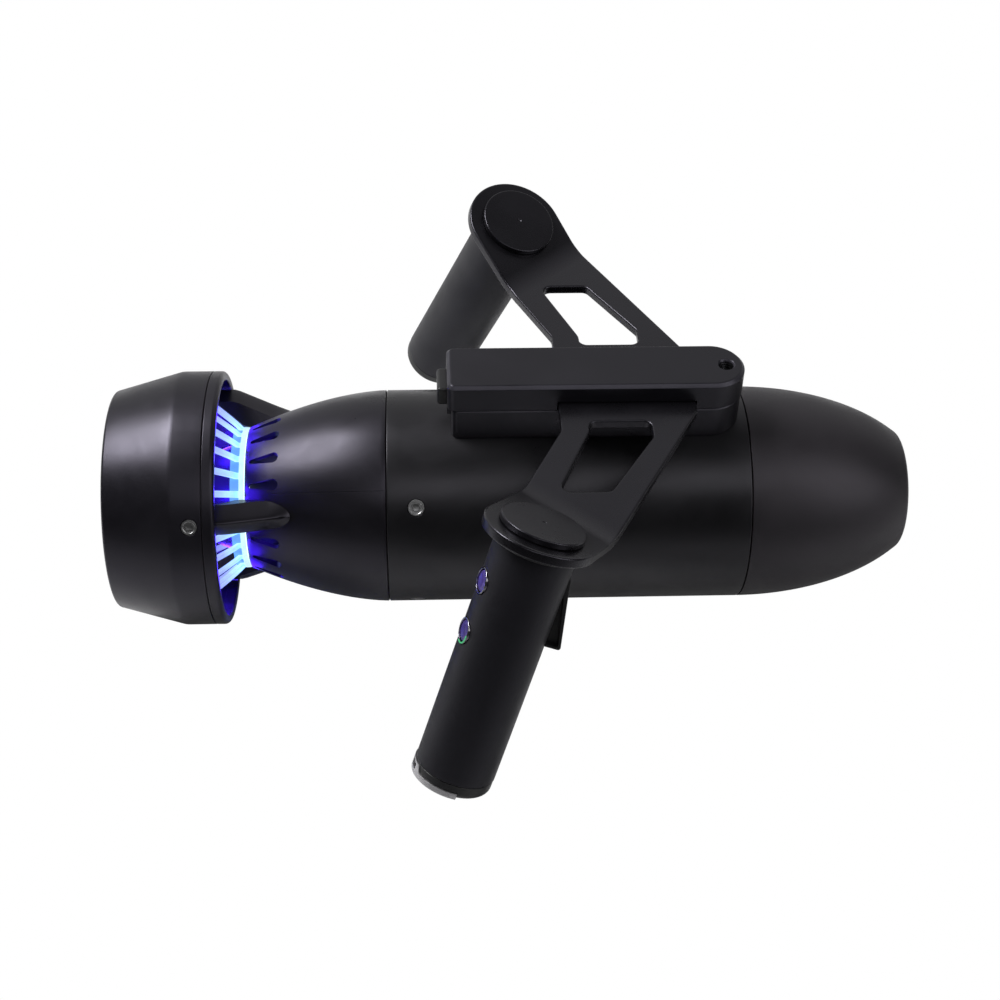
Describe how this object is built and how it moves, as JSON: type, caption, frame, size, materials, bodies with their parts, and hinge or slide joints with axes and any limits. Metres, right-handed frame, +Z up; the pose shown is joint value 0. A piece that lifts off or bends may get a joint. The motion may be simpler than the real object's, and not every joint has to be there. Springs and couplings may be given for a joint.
{
  "type": "underwater scooter",
  "caption": "Torpedo-shaped hull with a ducted propeller behind a lit inlet cage, carried by a handle block with two folded arms and hanging hand grips with a trigger.",
  "frame": {"origin": "centre of the flat round face at the nose", "axes": "+X forward out of the nose along the hull axis, +Z up through the handle block, +Y to the diver's left; the trigger grip is at -Y"},
  "size_m": [0.3325, 0.2978, 0.1357],
  "materials": {
    "anodised_hull": "satin black anodised",
    "black_plastic": "fine matte moulded",
    "grip_rubber": "soft matte",
    "seal_rubber": "smooth",
    "stainless": "bright turned",
    "motor_alloy": "turned",
    "copper_winding": "varnished winding",
    "core_nylon": "moulded",
    "lit_polycarbonate": "translucent and lit from inside",
    "battery_wrap": "shrink wrap",
    "contact_brass": "plated",
    "circuit_board": "solder mask"
  },
  "bodies": {
    "hull": {"nose_cap": "black_plastic", "body_tube": "anodised_hull", "tail_cone": "black_plastic", "nose_o_ring": "seal_rubber", "tail_o_ring": "seal_rubber", "body_screw_1": "stainless", "body_screw_2": "stainless", "body_screw_3": "stainless", "body_screw_4": "stainless", "duct_shell": "black_plastic", "duct_front_ring": "black_plastic", "strut_right": "black_plastic", "strut_left": "black_plastic", "strut_bottom": "black_plastic", "duct_screw_right": "stainless", "duct_screw_left": "stainless", "duct_screw_bottom": "stainless", "inlet_cage": "lit_polycarbonate", "led_ring": "lit_polycarbonate", "rear_guard": "black_plastic", "motor_housing": "motor_alloy", "motor_front_plate": "motor_alloy", "motor_stator": "copper_winding", "shaft_bearing_front": "stainless", "shaft_bearing_rear": "stainless", "shaft_seal": "seal_rubber", "battery_pack": "battery_wrap", "battery_cushion": "seal_rubber", "contact_plate": "contact_brass", "controller_board": "circuit_board", "rail_base": "anodised_hull", "handle_cover": "anodised_hull", "thread_insert": "stainless", "release_spring": "stainless", "arm_right": "anodised_hull", "arm_left": "anodised_hull", "arm_cap_right": "anodised_hull", "arm_cap_left": "anodised_hull", "grip_bolt_right": "stainless", "grip_bolt_left": "stainless", "grip_core_right": "core_nylon", "grip_core_left": "core_nylon", "grip_sleeve_right": "grip_rubber", "grip_sleeve_left": "grip_rubber", "grip_end_right": "black_plastic", "grip_end_left": "black_plastic", "lanyard_band": "stainless", "trigger_pin": "stainless", "thumb_bezel_upper": "stainless", "thumb_bezel_lower": "stainless", "handle_board": "circuit_board", "handle_battery": "battery_wrap"},
    "rotor": {"propeller": "black_plastic", "propeller_shaft": "stainless", "propeller_nut": "stainless", "motor_rotor": "stainless"},
    "trigger": {"trigger": "black_plastic"},
    "thumb_button_upper": {"thumb_button_upper": "lit_polycarbonate"},
    "thumb_button_lower": {"thumb_button_lower": "lit_polycarbonate"},
    "release_button": {"release_button": "black_plastic"}
  },
  "joints": [
    {"name": "propeller_spin", "type": "hinge", "parent": "hull", "child": "rotor", "pos_m": [-0.311, 0, 0], "axis": [1, 0, 0], "continuous": true},
    {"name": "trigger_pull", "type": "hinge", "parent": "hull", "child": "trigger", "pos_m": [-0.15468, -0.10415, 0.05424], "axis": [0, 0.9389, -0.3441], "range_deg": [0, 8], "stiffness_Nm_per_rad": 0.6, "springref_deg": -20.05},
    {"name": "thumb_upper_press", "type": "slide", "parent": "hull", "child": "thumb_button_upper", "axis": [0.9186, 0.1403, -0.3695], "range_m": [0, 0.001], "stiffness_N_per_m": 900, "springref_m": -0.001},
    {"name": "thumb_lower_press", "type": "slide", "parent": "hull", "child": "thumb_button_lower", "axis": [0.9186, 0.1403, -0.3695], "range_m": [0, 0.001], "stiffness_N_per_m": 900, "springref_m": -0.001},
    {"name": "release_press", "type": "slide", "parent": "hull", "child": "release_button", "axis": [1, 0, 0], "range_m": [0, 0.003], "stiffness_N_per_m": 600, "springref_m": -0.003, "deforming": ["release_spring"]}
  ]
}
